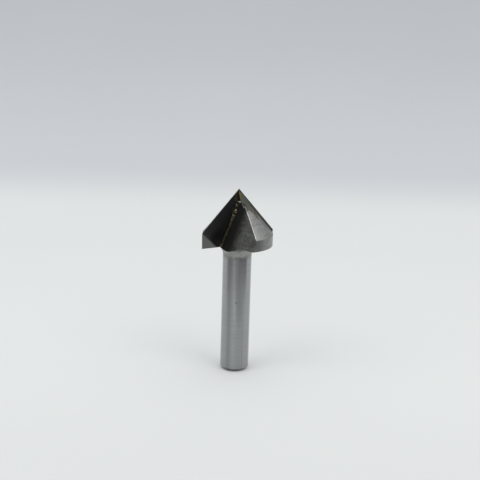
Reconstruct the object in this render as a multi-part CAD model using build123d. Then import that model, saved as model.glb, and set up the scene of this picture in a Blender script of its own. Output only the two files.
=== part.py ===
from build123d import *
import os
from math import cos, radians, sin, tan

# V groove router bit, standing on the foot of its shank.
# A steel body is turned and milled in one piece: shank, neck and head.
# A carbide plate is brazed into each of its gullets.
# Lengths are in millimetres and angles in degrees.
# The Z axis is the bit's own axis, and the origin is the centre of the foot.
# The bit cuts as it turns counterclockwise, seen from above its point.

# Shank
shank_diameter = 8.0
shank_length = 33.6  # straight part, from the foot to the neck
shank_chamfer = 0.9
neck_radius = 3.0  # hollow corner between the shank and the head

# Head
body_diameter = 19.4
rim_height = 3.1  # upright band below the cone
cutting_angle = 81.0  # whole angle of the V
cone_standout = 0.72  # how far the cutting edge stands off the cone, square to it
side_standout = 0.6  # how far the upright cutting edge stands off the rim

# Gullets
wing_count = 2
first_wing_angle = 19.0  # direction of the first wing, from the X axis
gullet_angle = 121.0  # from a wing's rake face to the gullet's floor
root_slope = 20.0  # lean of the gullet's root, from the bit's axis
web_thickness = 0.7  # steel left between the two roots where the web ends
web_drop = 3.6  # from the point down to the web's end

# Carbide plates
plate_thickness = 2.3
plate_overhang = 1.0  # how far the plate's foot hangs below the head
plate_foot_slope = 3.5  # rise of the foot's edge towards the shank
centre_overlap = 0.25  # how far each plate reaches past the axis at the point
edge_clearance_angle = 21.0  # fall of the plate behind its sloping edge
side_clearance_angle = 24.0  # fall of the plate behind its upright edge
point_facet_turn = 62.3  # direction of the flat behind the point, from its wing
point_facet_rise_angle = 34.2  # how far that flat faces upwards
heel_clearance_angle = 20.0  # fall of the short heel across the axis
land_facet_width = 4.2  # foot of the second rake facet, along the plate's foot
land_facet_tilt = 4.0

# Braze
braze_thickness = 0.25  # layer behind the plate
root_gap = 0.15  # filler between the plate's inner edge and the web
bead_on_plate = 0.12  # width of the root's bead along the plate's face
bead_on_floor = 0.45  # the same along the gullet's floor, at the head's underside
bead_spread_angle = 4.0  # how much the bead widens towards the point, along the floor
bead_start = 3.6  # how far below the web's end the bead begins

# Places that follow from the sizes above
half_angle = radians(cutting_angle / 2)
root_lean = radians(root_slope)
shank_radius = shank_diameter / 2
body_radius = body_diameter / 2
underside = shank_length + neck_radius
rim_top = underside + rim_height
cone_apex = rim_top + body_radius / tan(half_angle)
tip_height = cone_apex + cone_standout / sin(half_angle)
cutting_radius = body_radius + side_standout
corner_height = tip_height - cutting_radius / tan(half_angle)
web_top = tip_height - web_drop
core_reach = web_thickness / 2 + (web_top - underside) * tan(root_lean)  # to the root at the underside
plate_foot = underside - plate_overhang
pocket_depth = plate_thickness + braze_thickness
far = 2 * cutting_radius  # beyond the head on every side


def reach(height):
    """Distance from the axis to a gullet's root."""
    return core_reach - (height - underside) * tan(root_lean)


def height_where(distance):
    """Height at which a gullet's root is that far from the axis."""
    return underside + (core_reach - distance) / tan(root_lean)


def turned(standoff, top):
    """The body as it leaves the lathe, with its cone grown by a standoff and cut off at a height."""
    apex = cone_apex + standoff / sin(half_angle)
    edge = apex - body_radius / tan(half_angle)
    top_radius = (apex - top) * tan(half_angle)
    with BuildPart() as blank:
        with BuildSketch(Plane.XZ):
            with BuildLine():
                Polyline(
                    (0, 0),
                    (shank_radius - shank_chamfer, 0),
                    (shank_radius, shank_chamfer),
                    (shank_radius, shank_length),
                )
                RadiusArc((shank_radius, shank_length), (shank_radius + neck_radius, underside), neck_radius)
                Polyline(
                    (shank_radius + neck_radius, underside),
                    (body_radius, underside),
                    (body_radius, edge),
                    (top_radius, top),
                    (0, top),
                    (0, 0),
                )
            make_face()
        revolve(axis=Axis.Z)
    return blank.part


# Each piece below belongs to a wing along the X axis, with its rake face on the XZ plane, facing +Y.


def along_root(points):
    """A plan outline, set at the gullet's root and run along it through the whole head."""
    start = Pos(reach(shank_length), 0, shank_length)
    lean = Vector(-tan(root_lean), 0, 1)
    length = (tip_height - shank_length) / cos(root_lean)
    return extrude(start * make_face(Polyline(*points, close=True)), length, dir=lean)


def gullet_cutter():
    """The space of a gullet, together with the pocket for its plate."""
    floor = radians(gullet_angle)
    return along_root(
        [
            (0, 0),
            (0, -pocket_depth),
            (far, -pocket_depth),
            (far, far),
            (far * cos(floor) / sin(floor), far),
        ]
    )


def side_view(points, near, depth):
    """An outline given in X and Z, made solid from Y = near back to Y = near - depth."""
    outline = make_face(Polyline(*[(x, near, z) for x, z in points], close=True))
    return extrude(outline, depth, dir=(0, -1, 0))


def below(solid, point, normal):
    """What is left of a solid after a flat is ground on it."""
    return split(solid, Plane(point, z_dir=normal), keep=Keep.BOTTOM)


def foot_rise():
    """How much higher the plate's foot is at its inner end than at its outer one."""
    return (cutting_radius - reach(plate_foot) - root_gap) * tan(radians(plate_foot_slope))


def plate_outline():
    inner_height = height_where(-centre_overlap - root_gap)
    inner_foot = plate_foot + foot_rise()
    return [
        (0, tip_height),
        (cutting_radius, corner_height),
        (cutting_radius, plate_foot),
        (reach(inner_foot) + root_gap, inner_foot),
        (-centre_overlap, inner_height),
        (-centre_overlap, tip_height - centre_overlap / tan(half_angle)),
    ]


def ground_behind(solid):
    """A wing's solid after the two flats that run down from the point are ground behind its sloping edge."""
    tip = (0, 0, tip_height)
    fall = radians(edge_clearance_angle)
    solid = below(solid, tip, (cos(half_angle) * cos(fall), -sin(fall), sin(half_angle) * cos(fall)))
    turn, rise = radians(point_facet_turn), radians(point_facet_rise_angle)
    return below(solid, tip, (cos(rise) * cos(turn), -cos(rise) * sin(turn), sin(rise)))


def ground_across(solid):
    """A wing's solid after the flat on its short heel across the axis is ground."""
    fall = radians(heel_clearance_angle)
    normal = (-cos(half_angle) * cos(fall), -sin(fall), sin(half_angle) * cos(fall))
    return below(solid, (0, 0, tip_height), normal)


def carbide_plate():
    corner = (cutting_radius, 0, corner_height)
    plate = ground_across(ground_behind(side_view(plate_outline(), 0, plate_thickness)))
    fall = radians(side_clearance_angle)
    plate = below(plate, corner, (cos(fall), -sin(fall), 0))
    return below(plate, corner, land_facet_normal())


def land_facet_normal():
    """Faces out of the second rake facet, which falls away below a line from the plate's corner to its foot."""
    drop = corner_height - plate_foot
    line = Vector(land_facet_width, 0, drop).normalized()
    aside = line.cross(Vector(0, -1, 0))
    tilt = radians(land_facet_tilt)
    return Vector(0, cos(tilt), 0) + aside * sin(tilt)


def braze_layer():
    """All the filler of one wing: behind the plate, between its inner edge and the web, and in two fillets."""
    gap_foot = plate_foot + foot_rise()
    gap_top = height_where(-centre_overlap - root_gap)
    behind = [
        (reach(underside), underside),
        (-centre_overlap, height_where(-centre_overlap)),
        (-centre_overlap, gap_top),
        (far, gap_top),
        (far, underside),
    ]
    layer = side_view(behind, -plate_thickness, braze_thickness) & turned(cone_standout, gap_top)
    gap = [
        (reach(gap_foot), gap_foot),
        (reach(gap_foot) + root_gap, gap_foot),
        (-centre_overlap, gap_top),
        (-centre_overlap, web_top),
        (reach(web_top), web_top),
    ]
    ground = ground_across(ground_behind(layer + side_view(gap, 0, pocket_depth) + back_fillet()))
    return ground + root_fillet()


def back_fillet():
    """Filler that stands on the cone behind the plate, before it is ground flush with the plate."""
    built_up = below(turned(cone_standout, web_top), (0, -pocket_depth, 0), (0, 1, 0))
    return built_up - turned(0, web_top) - Rot(0, 0, 360 / wing_count) * gullet_cutter()


def root_fillet():
    """Bead of filler in the corner between the plate's face and the gullet's floor, wider towards the point."""
    floor = radians(gullet_angle)
    sections = []
    for height in (shank_length, tip_height):
        width = bead_on_floor + (height - underside) * tan(radians(bead_spread_angle))
        corner = [(0, 0), (bead_on_plate, 0), (width * cos(floor), width * sin(floor))]
        sections.append(Pos(reach(height), 0, height) * make_face(Polyline(*corner, close=True)))
    bead = loft(sections, ruled=True) & turned(0, web_top - bead_start)
    return bead - Rot(0, 0, 360 / wing_count) * gullet_cutter()


def wings(make):
    """One copy of a piece for each wing."""
    angles = [first_wing_angle + 360 / wing_count * index for index in range(wing_count)]
    return [Rot(0, 0, angle) * make() for angle in angles]


def steel_body():
    body = turned(0, web_top)
    for cutter in wings(gullet_cutter):
        body -= cutter
    return body


os.makedirs("parts", exist_ok=True)
export_step(steel_body(), "parts/steel_body.step")
for number, (plate, braze) in enumerate(zip(wings(carbide_plate), wings(braze_layer)), start=1):
    export_step(plate, f"parts/carbide_plate_{number}.step")
    export_step(braze, f"parts/braze_layer_{number}.step")
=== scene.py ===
from math import cos, pi, radians, sin, tan

import bpy
from mathutils import Euler, Matrix, Vector, noise


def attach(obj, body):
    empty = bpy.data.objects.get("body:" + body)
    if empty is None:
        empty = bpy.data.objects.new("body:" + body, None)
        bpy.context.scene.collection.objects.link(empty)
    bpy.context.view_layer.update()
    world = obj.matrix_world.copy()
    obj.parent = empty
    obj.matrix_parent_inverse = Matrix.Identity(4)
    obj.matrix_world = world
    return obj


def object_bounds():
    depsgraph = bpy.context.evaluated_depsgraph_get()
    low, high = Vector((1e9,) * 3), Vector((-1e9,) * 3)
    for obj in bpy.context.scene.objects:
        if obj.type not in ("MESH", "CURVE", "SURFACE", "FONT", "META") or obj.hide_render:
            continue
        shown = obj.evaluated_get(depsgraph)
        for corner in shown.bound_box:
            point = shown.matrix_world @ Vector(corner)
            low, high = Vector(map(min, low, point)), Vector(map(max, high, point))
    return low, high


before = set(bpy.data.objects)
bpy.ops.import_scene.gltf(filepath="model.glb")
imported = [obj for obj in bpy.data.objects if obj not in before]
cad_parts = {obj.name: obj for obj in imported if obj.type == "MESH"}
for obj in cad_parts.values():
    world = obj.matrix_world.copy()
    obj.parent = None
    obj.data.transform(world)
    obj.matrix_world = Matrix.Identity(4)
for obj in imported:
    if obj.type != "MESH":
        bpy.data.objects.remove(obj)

cad_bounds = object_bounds()

# The V groove router bit stands on its shank on a sheet of pale paper.
# The camera, the paper and the lamps are placed in metres, and the rest is in millimetres.
# Angles are in degrees, apart from the marks on the shank.
mm = 0.001

# Camera, fitted to the photograph
camera_place = (0.64 * mm, -266.7 * mm, 110.6 * mm)
camera_pitch = 15.3
camera_roll = 1.7
camera_lens = 75.0

# Sizes of the bit that the materials and the added pieces follow
shank_length = 33.6
underside = 36.6
rim_top = 39.7
half_angle = 40.5
web_thickness = 0.7
web_drop = 3.6
root_slope = 20.0
gullet_angle = 121.0
wing_angles = (19.0, 199.0)
cutting_radius = 10.3
plate_foot = 35.6
land_facet_width = 4.2
land_facet_tilt = 4.0
point_facet_turn = 62.3
point_facet_rise = 34.2
edge_clearance = 21.0

# Places on the bit that follow from them
tip_height = cad_bounds[1][2] / mm
corner_height = tip_height - cutting_radius / tan(radians(half_angle))
web_top = tip_height - web_drop
core_reach = web_thickness / 2 + (web_top - underside) * tan(radians(root_slope))

# Bead of filler in each gullet's root
bead_foot = 36.75
bead_top = 44.9
bead_head = 0.3  # rounded part over the top of the solid bead
bead_width = 0.42  # along the gullet's floor, at the head's underside
bead_spread = 0.1  # how much wider it gets for each millimetre up
bead_lip = 0.16  # along the plate's face
bead_swell = 0.05  # how far its middle stands out
bead_rows = 120
bead_sides = 12

# Drops of filler on each wing, placed along the wing, ahead of its rake face and up
upper_drop = (0.60, 0.44, 47.55)
upper_drop_size = (0.50, 0.42, 0.54)
lower_drop = (0.99, 0.76, 46.02)
lower_drop_size = (0.60, 0.45, 0.64)
web_end_drop = (0.27, 1.92, 48.78)
web_end_drop_size = (0.52, 0.66, 0.36)
drop_rows = 20
drop_sides = 28

# Stains of filler by the point
stain_foot = 49.6
stain_top = 51.5
smear_foot = 48.2
brown_start = 1.2  # distance from the axis at which the ground filler turns brown
brown_end = 4.2
gap_shade_foot = 48.7  # the cast filler is painted dark above this height, as shade in the gap above the web

# Painted shade and sheen on the rake faces and the gullets' floors
rake_shade_heights = (42.5, 39.0)  # the painted shade by the root fades in between these
rake_shade_reach = (9.0, 6.9)  # the same, by the distance from the axis
edge_sheen_reach = 3.6  # width of the painted sheen along the sloping edge
root_shade_reach = (2.7, 6.6)  # the painted shade of the floor fades out at these distances from the root
bead_start_heights = (42.0, 44.3)  # the root's bead gets lighter between these

# Marks on the shank, by their angle around it in radians: streaks of painted reflection and shade, and a
# painted highlight streak
dark_streak = -1.28
left_streak = -2.05
thin_streak = -1.03
highlight_streak = -1.444  # at the foot
highlight_streak_lean = -0.0103  # change for each millimetre up
streak_shade_heights = (8.0, 22.0)  # heights between which the painted streaks get stronger towards the head
speck_place = (0.1, -4.0, 20.6)

# Paper sheet
paper_front = -180 * mm
paper_side = 260 * mm
paper_fold = 225 * mm
paper_back = 620 * mm
paper_bend = 600 * mm

# Part of the paper in the camera's view, and the painted shade on the paper outside it
view_front = -68.0
view_side = 71.0  # half its width beside the bit
view_widening = 0.23  # how much that half grows for each millimetre back
outer_shade_back = (-22.0, -6.0)  # the painted shade ends between these places beside the bit
corner_front = (-80.0, -100.0)  # the painted dark corner fades in between these
corner_side = (25.0, 50.0)
corner_reach = (127.0, 140.0)

# Light from the surroundings
dark_front = 0.06
dim_left = 0.1
dim_right = 0.28
dim_back = 0.5
bright_top = 0.97

# Lamps, to the left and right of the camera and above it
left_lamp = (-0.44, -0.28, 0.68)
right_lamp = (0.40, -0.34, 0.68)
lamp_size = 0.5
lamp_power = 1.0


class Shader:
    """A material's node tree, with short calls for the nodes that the materials below use."""

    def __init__(self, name):
        self.material = bpy.data.materials.new(name)
        self.material.use_nodes = True
        self.tree = self.material.node_tree
        self.surface = self.tree.nodes["Principled BSDF"]
        self.place = self.vector("MULTIPLY", self.add("ShaderNodeTexCoord").outputs["Object"], (1 / mm,) * 3)
        self.x, self.y, self.z = self.parts(self.place)

    def add(self, kind, **settings):
        node = self.tree.nodes.new(kind)
        for name, value in settings.items():
            setattr(node, name, value)
        return node

    def put(self, socket, value):
        """Links a socket to another, or sets it to a constant."""
        if isinstance(value, bpy.types.NodeSocket):
            self.tree.links.new(value, socket)
        else:
            socket.default_value = value

    def math(self, operation, *values):
        node = self.add("ShaderNodeMath", operation=operation)
        for socket, value in zip(node.inputs, values):
            self.put(socket, value)
        return node.outputs[0]

    def vector(self, operation, *values):
        node = self.add("ShaderNodeVectorMath", operation=operation)
        for socket, value in zip(node.inputs, values):
            self.put(socket, value)
        return node.outputs["Value" if operation in ("DOT_PRODUCT", "LENGTH") else "Vector"]

    def parts(self, vector):
        node = self.add("ShaderNodeSeparateXYZ")
        self.put(node.inputs[0], vector)
        return node.outputs

    def join(self, x, y, z):
        node = self.add("ShaderNodeCombineXYZ")
        for socket, value in zip(node.inputs, (x, y, z)):
            self.put(socket, value)
        return node.outputs[0]

    def ramp(self, value, start, end, low=0.0, high=1.0):
        """A smooth step of a value from start to end."""
        node = self.add("ShaderNodeMapRange", interpolation_type="SMOOTHSTEP")
        for socket, entry in zip(node.inputs, (value, start, end, low, high)):
            self.put(socket, entry)
        return node.outputs[0]

    def band(self, value, middle, width):
        """One near a value, and nothing further from it than the width."""
        return self.ramp(self.math("ABSOLUTE", self.math("SUBTRACT", value, middle)), 0.0, width, 1.0, 0.0)

    def noise(self, place, scale, detail=3.0, roughness=0.5):
        node = self.add("ShaderNodeTexNoise")
        self.put(node.inputs["Vector"], place)
        for name, value in (("Scale", scale), ("Detail", detail), ("Roughness", roughness)):
            node.inputs[name].default_value = value
        return node.outputs["Fac"]

    def mix(self, share, first, second):
        node = self.add("ShaderNodeMix", data_type="RGBA")
        self.put(node.inputs[0], share)
        for socket, colour in zip((node.inputs[6], node.inputs[7]), (first, second)):
            self.put(socket, colour if isinstance(colour, bpy.types.NodeSocket) else (*colour, 1.0))
        return node.outputs[2]

    def bump(self, height, depth, over=None):
        """Relief from a height between 0 and 1, that many millimetres deep."""
        node = self.add("ShaderNodeBump")
        node.inputs["Strength"].default_value = 1.0
        node.inputs["Distance"].default_value = depth * mm
        self.put(node.inputs["Height"], height)
        if over is not None:
            self.put(node.inputs["Normal"], over)
        return node.outputs[0]

    def rounded(self, radius):
        """The normal as it is when every edge is rounded by that many millimetres."""
        node = self.add("ShaderNodeBevel", samples=6)
        node.inputs["Radius"].default_value = radius * mm
        return node.outputs[0]

    def on_flat(self, point, normal, angles=wing_angles, depth=0.02):
        """One on a flat through a point, in any of the wings, and nothing off it."""
        share = 0.0
        for angle in angles:
            turn = Matrix.Rotation(radians(angle), 3, "Z")
            out = turn @ Vector(normal).normalized()
            level = (turn @ Vector(point)).dot(out)
            height = self.math("SUBTRACT", self.vector("DOT_PRODUCT", self.place, out), level)
            near = self.math("LESS_THAN", self.math("ABSOLUTE", height), depth)
            share = self.math("MAXIMUM", near, share)
        return share

    def near_axis(self, angle):
        """A place's distance along a wing, from the axis, and square to it, ahead of its rake face."""
        turn = radians(angle)
        along = self.vector("DOT_PRODUCT", self.place, (cos(turn), sin(turn), 0))
        return along, self.vector("DOT_PRODUCT", self.place, (-sin(turn), cos(turn), 0))

    def point_stain(self):
        """One on the inner ends of the plates and of the filler behind the point, where filler has run."""
        share = 0.0
        for angle in wing_angles:
            along, ahead = self.near_axis(angle)
            near = self.math("MULTIPLY", self.ramp(along, 0.08, 0.3, 1.0, 0.0), self.ramp(ahead, -0.3, -0.5))
            near = self.math("MULTIPLY", near, self.math("GREATER_THAN", along, -0.24))
            share = self.math("MAXIMUM", near, share)
        share = self.math("MULTIPLY", share, self.ramp(self.z, stain_foot, stain_foot + 0.4))
        return self.math("MULTIPLY", share, self.ramp(self.z, stain_top - 0.4, stain_top, 1.0, 0.0))

    def near_edge(self, reach):
        """One at a plate's sloping edge, fading to nothing that many millimetres inside it."""
        share = 0.0
        for angle in wing_angles:
            out = Matrix.Rotation(radians(angle), 3, "Z") @ Vector(clearance_normal())
            below = self.math("SUBTRACT", out.z * tip_height, self.vector("DOT_PRODUCT", self.place, out))
            mine = self.math("GREATER_THAN", self.near_axis(angle)[0], 0.0)
            near = self.math("MULTIPLY", mine, self.ramp(below, 0.0, reach, 1.0, 0.0))
            share = self.math("MAXIMUM", near, share)
        return share

    def from_root(self):
        """Distance from a gullet's root along its floor, and nothing off the floors."""
        floor = radians(gullet_angle)
        along = Vector((-sin(radians(root_slope)), 0, cos(radians(root_slope))))
        outward = Vector((cos(floor), sin(floor), 0))
        root = Vector((core_reach, 0, underside))
        distance = 0.0
        for angle in wing_angles:
            turn = Matrix.Rotation(radians(angle), 3, "Z")
            flat = self.on_flat(root, along.cross(outward), angles=(angle,))
            across = turn @ (outward - along * outward.dot(along)).normalized()
            start = (turn @ root).dot(across)
            reach = self.math("SUBTRACT", self.vector("DOT_PRODUCT", self.place, across), start)
            distance = self.math("MULTIPLY_ADD", flat, reach, distance)
        return distance

    def finish(self, **sockets):
        for name, value in sockets.items():
            self.put(self.surface.inputs[name.replace("_", " ")], value)
        return self.material


def grey(level):
    return (level, level, level)


def clearance_normal():
    """Faces out of the ground flat behind a plate's sloping edge."""
    half, fall = radians(half_angle), radians(edge_clearance)
    return cos(half) * cos(fall), -sin(fall), sin(half) * cos(fall)


def facet_normal():
    """Faces out of the ground flat behind the point."""
    turn, rise = radians(point_facet_turn), radians(point_facet_rise)
    return cos(rise) * cos(turn), -cos(rise) * sin(turn), sin(rise)


def steel():
    s = Shader("turned_steel")
    flat = s.add("ShaderNodeNewGeometry").outputs["True Normal"]
    edges = s.rounded(0.12)
    # The head's edges are painted bright above the rim, a painted highlight together with wear, and painted
    # dark along the rim as shade.
    border = s.ramp(s.vector("DOT_PRODUCT", s.rounded(0.3), flat), 0.985, 0.93)
    wear_and_highlight = s.math("MULTIPLY", border, s.ramp(s.z, rim_top + 0.1, rim_top + 0.5))
    rim_edge_shade = s.math("MULTIPLY", border, s.ramp(s.z, underside + 0.4, underside + 1.0))
    rim_edge_shade = s.math("MULTIPLY", rim_edge_shade, s.ramp(s.z, rim_top - 0.7, rim_top - 0.3, 1.0, 0.0))
    # Fine lines of the lathe run round the head, and soft streaks run along the shank.
    turn = s.math("ARCTAN2", s.y, s.x)
    lines = s.noise(s.join(s.math("MULTIPLY", turn, 1.5), 0.0, s.math("MULTIPLY", s.z, 1.7)), 1.0, 4.0, 0.75)
    streaks = s.noise(s.vector("MULTIPLY", s.place, (1.1, 1.1, 0.05)), 1.0, 2.0)
    mottle = s.noise(s.place, 1.6, 4.0, 0.6)
    head = s.ramp(s.z, shank_length - 1.4, shank_length + 0.6)
    grain = s.math("MULTIPLY", streaks, 0.25)
    grain = s.math("MULTIPLY_ADD", lines, s.ramp(head, 0.0, 1.0, 0.12, 0.95), grain)
    grain = s.math("MULTIPLY_ADD", mottle, s.ramp(head, 0.0, 1.0, 0.35, 0.6), grain)
    tone = s.ramp(grain, s.ramp(head, 0.0, 1.0, 0.3, 0.62), s.ramp(head, 0.0, 1.0, 0.85, 1.18))
    body = s.mix(tone, (0.215, 0.218, 0.21), (0.385, 0.388, 0.375))
    shank = s.mix(tone, (0.352, 0.36, 0.362), (0.448, 0.45, 0.44))
    # Darker streaks of painted reflection and shade and one painted highlight streak run down the side of
    # the shank that faces the camera.
    high = s.ramp(s.z, *streak_shade_heights)
    wide = s.math("MULTIPLY", s.band(turn, dark_streak, 0.5), s.ramp(high, 0.0, 1.0, 0.35, 0.85))
    left = s.math("MULTIPLY", s.band(turn, left_streak, 0.34), s.ramp(high, 0.0, 1.0, 0.7, 0.85))
    thin = s.math("MULTIPLY", s.band(turn, thin_streak, 0.13), 0.5)
    shank = s.mix(s.math("MAXIMUM", s.math("MAXIMUM", wide, left), thin), shank, (0.222, 0.228, 0.237))
    line = s.math("MULTIPLY_ADD", s.z, highlight_streak_lean, highlight_streak)
    highlight_mask = s.math("MULTIPLY", s.band(s.math("SUBTRACT", turn, line), 0.0, 0.11), high)
    shank = s.mix(s.math("MULTIPLY", highlight_mask, 0.75), shank, (0.44, 0.445, 0.44))
    rings = s.noise(s.vector("MULTIPLY", s.place, (0.08, 0.08, 2.6)), 1.0, 4.0, 0.75)
    shank = s.mix(s.ramp(rings, 0.45, 0.65, 0.0, 0.28), shank, (0.22, 0.225, 0.23))
    speck = s.vector("LENGTH", s.vector("SUBTRACT", s.place, speck_place))
    shank = s.mix(s.ramp(speck, 0.1, 0.34), grey(0.11), shank)
    colour = s.mix(head, shank, body)
    # The gullet's floor is painted dark next to its root: a painted reflection of the dark rake face and
    # painted shade in the root.
    noisy_root_distance = s.math("ADD", s.from_root(), s.math("MULTIPLY_ADD", mottle, 1.6, -0.8))
    floor = s.math("GREATER_THAN", s.from_root(), 0.001)
    root_shade = s.math("MULTIPLY", floor, s.ramp(noisy_root_distance, *root_shade_reach, 1.0, 0.0))
    colour = s.mix(floor, colour, s.mix(tone, (0.14, 0.145, 0.131), (0.305, 0.31, 0.29)))
    rim = s.math("MULTIPLY", s.ramp(s.z, underside - 0.1, underside + 0.1), 0.3)
    rim = s.math("MULTIPLY", rim, s.ramp(s.z, rim_top - 0.05, rim_top + 0.05, 1.0, 0.0))
    colour = s.mix(s.math("MULTIPLY", s.math("SUBTRACT", 1.0, floor), rim), colour, grey(0.2))
    colour = s.mix(root_shade, colour, (0.035, 0.036, 0.033))
    # Painted shade along the rim's edges, and a painted highlight together with wear on the edges above the
    # rim.
    colour = s.mix(s.math("MULTIPLY", rim_edge_shade, 0.5), colour, (0.12, 0.12, 0.11))
    colour = s.mix(wear_and_highlight, colour, (0.85, 0.85, 0.83))
    rough = s.math("MULTIPLY_ADD", mottle, 0.08, s.ramp(head, 0.0, 1.0, 0.13, 0.33))
    normal = s.bump(lines, 0.006, s.bump(mottle, 0.003, edges))
    return s.finish(Base_Color=colour, Metallic=0.97, Roughness=rough, Normal=normal)


def land_normal():
    """Faces out of the second facet of a rake face."""
    line = Vector((land_facet_width, 0, corner_height - plate_foot)).normalized()
    aside = line.cross(Vector((0, -1, 0)))
    return Vector((0, cos(radians(land_facet_tilt)), 0)) + aside * sin(radians(land_facet_tilt))


def carbide():
    s = Shader("ground_carbide")
    tip = (0, 0, tip_height)
    flat = s.add("ShaderNodeNewGeometry").outputs["True Normal"]
    edges = s.rounded(0.16)
    rake = s.on_flat((0, 0, 0), (0, 1, 0))
    clearance = s.on_flat(tip, clearance_normal())
    wear_and_highlight = s.math("MULTIPLY", rake, s.ramp(s.vector("DOT_PRODUCT", edges, flat), 0.99, 0.9))
    lines = s.noise(s.vector("MULTIPLY", s.place, (0.8, 0.8, 11.0)), 1.0, 3.0, 0.6)
    mottle = s.noise(s.place, 2.2, 4.0, 0.6)
    land = s.on_flat((cutting_radius, 0, corner_height), land_normal())
    colour = s.mix(mottle, grey(0.065), grey(0.085))
    # The rake face is painted darkest low down by the root, as shade, and lighter along its sloping edge, as
    # a painted sheen.
    along = s.math("ABSOLUTE", s.near_axis(wing_angles[0])[0])
    low = s.math("MULTIPLY", s.ramp(s.z, *rake_shade_heights), s.ramp(along, *rake_shade_reach))
    colour = s.mix(s.math("MULTIPLY", rake, low), colour, grey(0.03))
    colour = s.mix(s.math("MULTIPLY", rake, s.near_edge(edge_sheen_reach)), colour, grey(0.16))
    # The rake face's second facet is painted lighter, a painted reflection.
    colour = s.mix(land, colour, grey(0.17))
    colour = s.mix(clearance, colour, (0.115, 0.118, 0.112))
    colour = s.mix(s.on_flat(tip, facet_normal()), colour, (0.1, 0.107, 0.088))
    # Filler has run over the plates where they meet at the point.
    spread = s.vector("LENGTH", s.join(s.x, s.y, 0.0))
    smear = s.math("MULTIPLY", s.ramp(s.z, smear_foot, smear_foot + 1.0), s.ramp(spread, 0.5, 1.5, 1.0, 0.0))
    smear = s.math("MULTIPLY", smear, s.math("SUBTRACT", 1.0, clearance))
    smear = s.math("MULTIPLY", smear, s.ramp(s.math("MULTIPLY_ADD", lines, 0.5, mottle), 0.45, 0.75))
    colour = s.mix(smear, colour, (0.05, 0.043, 0.02))
    colour = s.mix(s.point_stain(), colour, (0.155, 0.135, 0.035))
    # The rake's edges are painted light: a painted highlight together with wear.
    colour = s.mix(wear_and_highlight, colour, grey(0.55))
    rough = s.math("MULTIPLY_ADD", mottle, 0.06, s.ramp(clearance, 0.0, 1.0, 0.09, 0.26))
    rough = s.ramp(smear, 0.0, 1.0, rough, 0.5)
    metal = s.ramp(smear, 0.0, 1.0, 0.97, 0.45)
    tint = s.mix(clearance, grey(1.0), grey(0.4))
    normal = s.bump(lines, 0.0015, s.rounded(0.05))
    return s.finish(Base_Color=colour, Metallic=metal, Roughness=rough, Specular_Tint=tint, Normal=normal)


def braze():
    s = Shader("braze_filler")
    tip = (0, 0, tip_height)
    lumps = s.noise(s.place, 1.8, 3.0, 0.55)
    grain = s.noise(s.place, 7.0, 4.0, 0.65)
    cast = s.mix(s.ramp(lumps, 0.35, 0.65), (0.06, 0.055, 0.035), (0.13, 0.115, 0.075))
    cast = s.mix(s.ramp(grain, 0.62, 0.75), cast, (0.30, 0.26, 0.16))
    # Painted shade: the cast filler is near black in the gap above the web, between the plates.
    cast = s.mix(s.ramp(s.z, gap_shade_foot, gap_shade_foot + 0.3), cast, (0.04, 0.03, 0.02))
    # Where it is ground, the filler is a greyer metal: yellow by the point, then brown, then brighter.
    facet, clearance = s.on_flat(tip, facet_normal()), s.on_flat(tip, clearance_normal())
    ground = s.mix(lumps, (0.117, 0.116, 0.098), (0.15, 0.145, 0.117))
    along = s.math("ABSOLUTE", s.near_axis(wing_angles[0])[0])
    ground = s.mix(s.ramp(along, brown_start, brown_start + 1.4), (0.108, 0.115, 0.11), ground)
    patch = s.math("MULTIPLY", s.ramp(lumps, 0.42, 0.6), s.ramp(along, brown_start, brown_start + 1.0))
    ground = s.mix(patch, ground, (0.2, 0.17, 0.115))
    ground = s.mix(s.ramp(along, brown_end, brown_end + 0.9), ground, (0.25, 0.255, 0.26))
    ground = s.mix(s.point_stain(), ground, (0.155, 0.135, 0.035))
    flush = s.math("MAXIMUM", facet, clearance)
    colour = s.mix(flush, cast, ground)
    rough = s.math("MULTIPLY_ADD", grain, 0.2, s.ramp(flush, 0.0, 1.0, 0.42, 0.28))
    tint = s.mix(clearance, grey(1.0), (0.75, 0.72, 0.6))
    depth = s.math("MULTIPLY", lumps, s.math("SUBTRACT", 1.0, flush))
    normal = s.bump(depth, 0.1, s.bump(grain, 0.02))
    metal = s.ramp(flush, 0.0, 1.0, 0.7, 1.0)
    return s.finish(Base_Color=colour, Metallic=metal, Roughness=rough, Specular_Tint=tint, Normal=normal)


def drops():
    s = Shader("filler_drops")
    lumps = s.noise(s.place, 2.4, 3.0, 0.55)
    grain = s.noise(s.place, 4.5, 4.0, 0.65)
    up = s.parts(s.add("ShaderNodeNewGeometry").outputs["Normal"])[2]
    # The bead is dull and lighter towards its start, and the drops over it get a painted highlight on top.
    low = s.mix(s.ramp(lumps, 0.38, 0.62), (0.048, 0.042, 0.028), (0.13, 0.112, 0.075))
    start = s.mix(s.ramp(lumps, 0.35, 0.6), (0.085, 0.076, 0.056), (0.18, 0.162, 0.122))
    low = s.mix(s.ramp(s.z, *bead_start_heights), low, start)
    high = s.mix(s.ramp(lumps, 0.38, 0.62), (0.075, 0.067, 0.038), (0.29, 0.26, 0.175))
    loose = s.ramp(s.z, bead_top + 0.25, bead_top + 0.55)
    colour = s.mix(loose, low, high)
    top_highlight = s.math("MULTIPLY", s.ramp(up, 0.0, 0.7), s.ramp(grain, 0.42, 0.6))
    top_highlight = s.math("MULTIPLY", top_highlight, s.math("MULTIPLY", loose, s.ramp(s.z, 46.6, 47.2, 0.5, 0.6)))
    colour = s.mix(top_highlight, colour, (0.62, 0.58, 0.45))
    rough = s.math("MULTIPLY_ADD", grain, 0.25, 0.22)
    normal = s.bump(lumps, 0.06, s.bump(grain, 0.02))
    return s.finish(Base_Color=colour, Metallic=1.0, Roughness=rough, Normal=normal)


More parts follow.
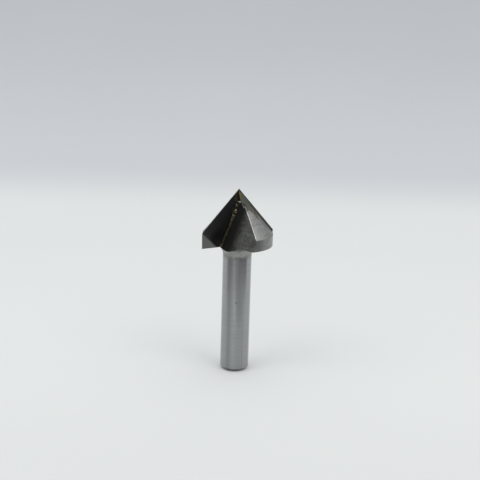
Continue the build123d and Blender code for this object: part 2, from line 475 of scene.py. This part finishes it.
def paper():
    s = Shader("paper")
    fibre = s.noise(s.place, 0.6, 5.0, 0.7)
    cloud = s.noise(s.place, 0.012, 3.0)
    near = s.mix(cloud, (0.77, 0.79, 0.78), (0.79, 0.81, 0.80))
    # The paper beyond the fold and up its rise is painted darker and cooler, as painted shade.
    shaded_far = s.mix(cloud, (0.63, 0.65, 0.68), (0.65, 0.67, 0.70))
    shaded_rise = s.mix(cloud, (0.60, 0.62, 0.65), (0.62, 0.64, 0.67))
    fold = s.ramp(s.y, paper_fold / mm - 40, paper_fold / mm + 60)
    up = s.ramp(s.z, 0.0, 60.0)
    # Painted shade: the paper is a little darker towards the front, darker around the front outside the
    # camera's view, and nearly black in its right corner.
    spread = s.vector("LENGTH", s.join(s.x, s.y, 0.0))
    aside = s.math("MULTIPLY_ADD", s.y, -view_widening, s.math("ABSOLUTE", s.x))
    beside = s.ramp(aside, view_side, view_side + 8.0)
    beside = s.math("MAXIMUM", beside, s.ramp(s.y, view_front, view_front - 11.0))
    outer_shade = s.math("MULTIPLY", s.ramp(s.y, *outer_shade_back, 1.0, 0.0), beside)
    flat = s.mix(s.ramp(s.y, -10.0, -70.0, 0.0, 0.1), near, grey(0.48))
    flat = s.mix(outer_shade, flat, grey(0.56))
    flat = s.mix(s.math("MULTIPLY", outer_shade, s.ramp(spread, 90.0, 135.0)), flat, grey(0.43))
    flat = s.mix(s.math("MULTIPLY", outer_shade, s.ramp(s.x, 70.0, 120.0)), flat, grey(0.28))
    corner = s.math("MULTIPLY", s.ramp(s.y, *corner_front), s.ramp(s.x, *corner_side))
    flat = s.mix(s.math("MULTIPLY", corner, s.ramp(spread, *corner_reach)), flat, grey(0.025))
    colour = s.mix(up, s.mix(fold, flat, shaded_far), shaded_rise)
    return s.finish(Base_Color=colour, Roughness=0.9, Normal=s.bump(fibre, 0.01))


def dress(node, material):
    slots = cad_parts[node].data.materials
    slots.clear()
    slots.append(material)


def sheet():
    """The paper that the bit stands on: flat, then rising gently behind it."""
    steps = 40
    profile = [(paper_front, 0.0)]
    for step in range(steps + 1):
        along = paper_fold + (paper_back - paper_fold) * step / steps
        rise = paper_bend - (paper_bend ** 2 - (along - paper_fold) ** 2) ** 0.5
        profile.append((along, rise))
    places = [(side * paper_side * (1 + max(y, 0) * 2), y, z) for y, z in profile for side in (-1, 1)]
    faces = [(2 * k, 2 * k + 1, 2 * k + 3, 2 * k + 2) for k in range(len(profile) - 1)]
    piece("paper_sheet", places, faces, paper())


def piece(name, places, faces, material):
    """A mesh object from its corners and faces."""
    mesh = bpy.data.meshes.new(name)
    mesh.from_pydata(places, [], faces)
    mesh.shade_smooth()
    mesh.materials.append(material)
    thing = bpy.data.objects.new(name, mesh)
    bpy.context.scene.collection.objects.link(thing)
    return thing


def ride(thing):
    """Adds a piece of filler to the part."""
    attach(thing, "root")


def root_reach(height):
    return core_reach - (height - underside) * tan(radians(root_slope))


def tube(rings):
    """Corners and faces of a closed skin over rings of corners, with a middle point on each end."""
    count = len(rings[0])
    places = [corner for ring in rings for corner in ring]
    faces = []
    for row in range(len(rings) - 1):
        low, high = row * count, (row + 1) * count
        for k in range(count):
            after = (k + 1) % count
            faces.append((low + k, low + after, high + after, high + k))
    for row, flip in ((0, True), (len(rings) - 1, False)):
        middle = sum((Vector(corner) for corner in rings[row]), Vector()) / count
        places.append(tuple(middle))
        for k in range(count):
            face = (row * count + k, row * count + (k + 1) % count, len(places) - 1)
            faces.append(face[::-1] if flip else face)
    return places, faces


def bead(name, angle, material):
    """The uneven run of filler in a gullet's root, from the head's underside up to its rounded start."""
    turn = Matrix.Rotation(radians(angle), 3, "Z")
    rings = []
    for row in range(bead_rows + 1):
        height = bead_foot + (bead_top + bead_head - bead_foot) * row / bead_rows
        to_end = min(1.0, (bead_top + bead_head - height) / bead_head)
        rounding = max(0.05, 1.0 - (1.0 - to_end) ** 2) ** 0.5
        ripple = noise.fractal(Vector((0.3 * angle, 0.0, height * 1.3)), 1.0, 2.0, 4)
        width = (bead_width + (height - underside) * bead_spread) * (1.0 + 0.12 * ripple) * rounding
        ring = []
        for k in range(bead_sides):
            share = k / (bead_sides - 1)
            bulge = sin(pi * share)
            lump = noise.noise(Vector((share * 2.0, height * 2.6, 0.1 * angle)))
            flank = radians(gullet_angle) * share
            chord = (bead_lip * (1 - share) + width * share) * (1.0 - 0.35 * bulge)
            out = chord + (bead_swell + 0.04 * lump) * bulge
            ring.append(Vector((root_reach(height) + out * cos(flank), out * sin(flank), height)))
        ring.append(Vector((root_reach(height), -0.02, height)))
        rings.append([tuple(turn @ corner * mm) for corner in ring])
    ride(piece(name, *tube(rings), material))


def drop(name, angle, place, size, seed, material):
    """A drop of filler: a round lump with an uneven skin, given in a wing's own frame."""
    turn = Matrix.Rotation(radians(angle), 3, "Z")
    rings = []
    for row in range(drop_rows + 1):
        polar = pi * (0.04 + 0.92 * row / drop_rows)
        ring = []
        for k in range(drop_sides):
            around = 2 * pi * k / drop_sides
            out = Vector((sin(polar) * cos(around), sin(polar) * sin(around), -cos(polar)))
            swell = 1.0 + 0.28 * noise.fractal(out * 1.7 + Vector((seed, 0, 0)), 1.0, 2.0, 3)
            skin = Vector([place[axis] + out[axis] * size[axis] * swell for axis in range(3)])
            ring.append(turn @ skin * mm)
        rings.append([tuple(corner) for corner in ring])
    ride(piece(name, *tube(rings), material))


def sky():
    """Light from all round: bright overhead, dim near the level of the table and dark behind the camera."""
    world = bpy.data.worlds.new("studio")
    bpy.context.scene.world = world
    world.use_nodes = True
    tree = world.node_tree
    background = tree.nodes["Background"]
    parts = tree.nodes.new("ShaderNodeSeparateXYZ")
    tree.links.new(tree.nodes.new("ShaderNodeTexCoord").outputs["Generated"], parts.inputs[0])

    def step(value, start, end, low, high):
        node = tree.nodes.new("ShaderNodeMapRange")
        node.interpolation_type = "SMOOTHSTEP"
        for socket, entry in zip(node.inputs, (value, start, end, low, high)):
            if isinstance(entry, bpy.types.NodeSocket):
                tree.links.new(entry, socket)
            else:
                socket.default_value = entry
        return node.outputs[0]

    side = step(parts.outputs[0], -0.8, -0.2, dim_left, dim_right)
    level = step(parts.outputs[1], -0.5, 0.1, dark_front, side)
    level = step(parts.outputs[1], 0.2, 0.9, level, dim_back)
    level = step(parts.outputs[2], 0.05, 0.8, level, bright_top)
    tree.links.new(level, background.inputs["Strength"])
    background.inputs["Color"].default_value = (0.98, 0.99, 1.0, 1.0)


def lamp(name, place, aim=(0, 0, 0.02)):
    """A round soft light that shines on the bit."""
    light = bpy.data.lights.new(name, "AREA")
    light.shape = "DISK"
    light.size = lamp_size
    light.energy = lamp_power
    holder = bpy.data.objects.new(name, light)
    holder.location = place
    holder.rotation_euler = (Vector(aim) - Vector(place)).to_track_quat("-Z", "Y").to_euler()
    bpy.context.scene.collection.objects.link(holder)


def camera():
    lens = bpy.data.cameras.new("camera")
    lens.lens = camera_lens
    lens.clip_start = 0.01
    holder = bpy.data.objects.new("camera", lens)
    look = Euler((radians(90 - camera_pitch), 0, 0)).to_matrix().to_4x4()
    roll = Matrix.Rotation(radians(camera_roll), 4, "Z")
    holder.matrix_world = Matrix.Translation(camera_place) @ look @ roll
    bpy.context.scene.collection.objects.link(holder)
    bpy.context.scene.camera = holder


camera()
sky()
lamp("left_softbox", left_lamp)
lamp("right_softbox", right_lamp)
sheet()
dress("steel_body", steel())
plate_finish, filler_finish, drop_finish = carbide(), braze(), drops()
for wing in (1, 2):
    dress(f"carbide_plate_{wing}", plate_finish)
    dress(f"braze_layer_{wing}", filler_finish)
    angle = wing_angles[wing - 1]
    bead(f"root_bead_{wing}", angle, drop_finish)
    drop(f"upper_drop_{wing}", angle, upper_drop, upper_drop_size, 1.3 * wing, drop_finish)
    drop(f"lower_drop_{wing}", angle, lower_drop, lower_drop_size, 4.1 * wing, drop_finish)
    drop(f"web_end_drop_{wing}", angle, web_end_drop, web_end_drop_size, 7.7 * wing, drop_finish)

bpy.context.scene.view_settings.view_transform = "Standard"
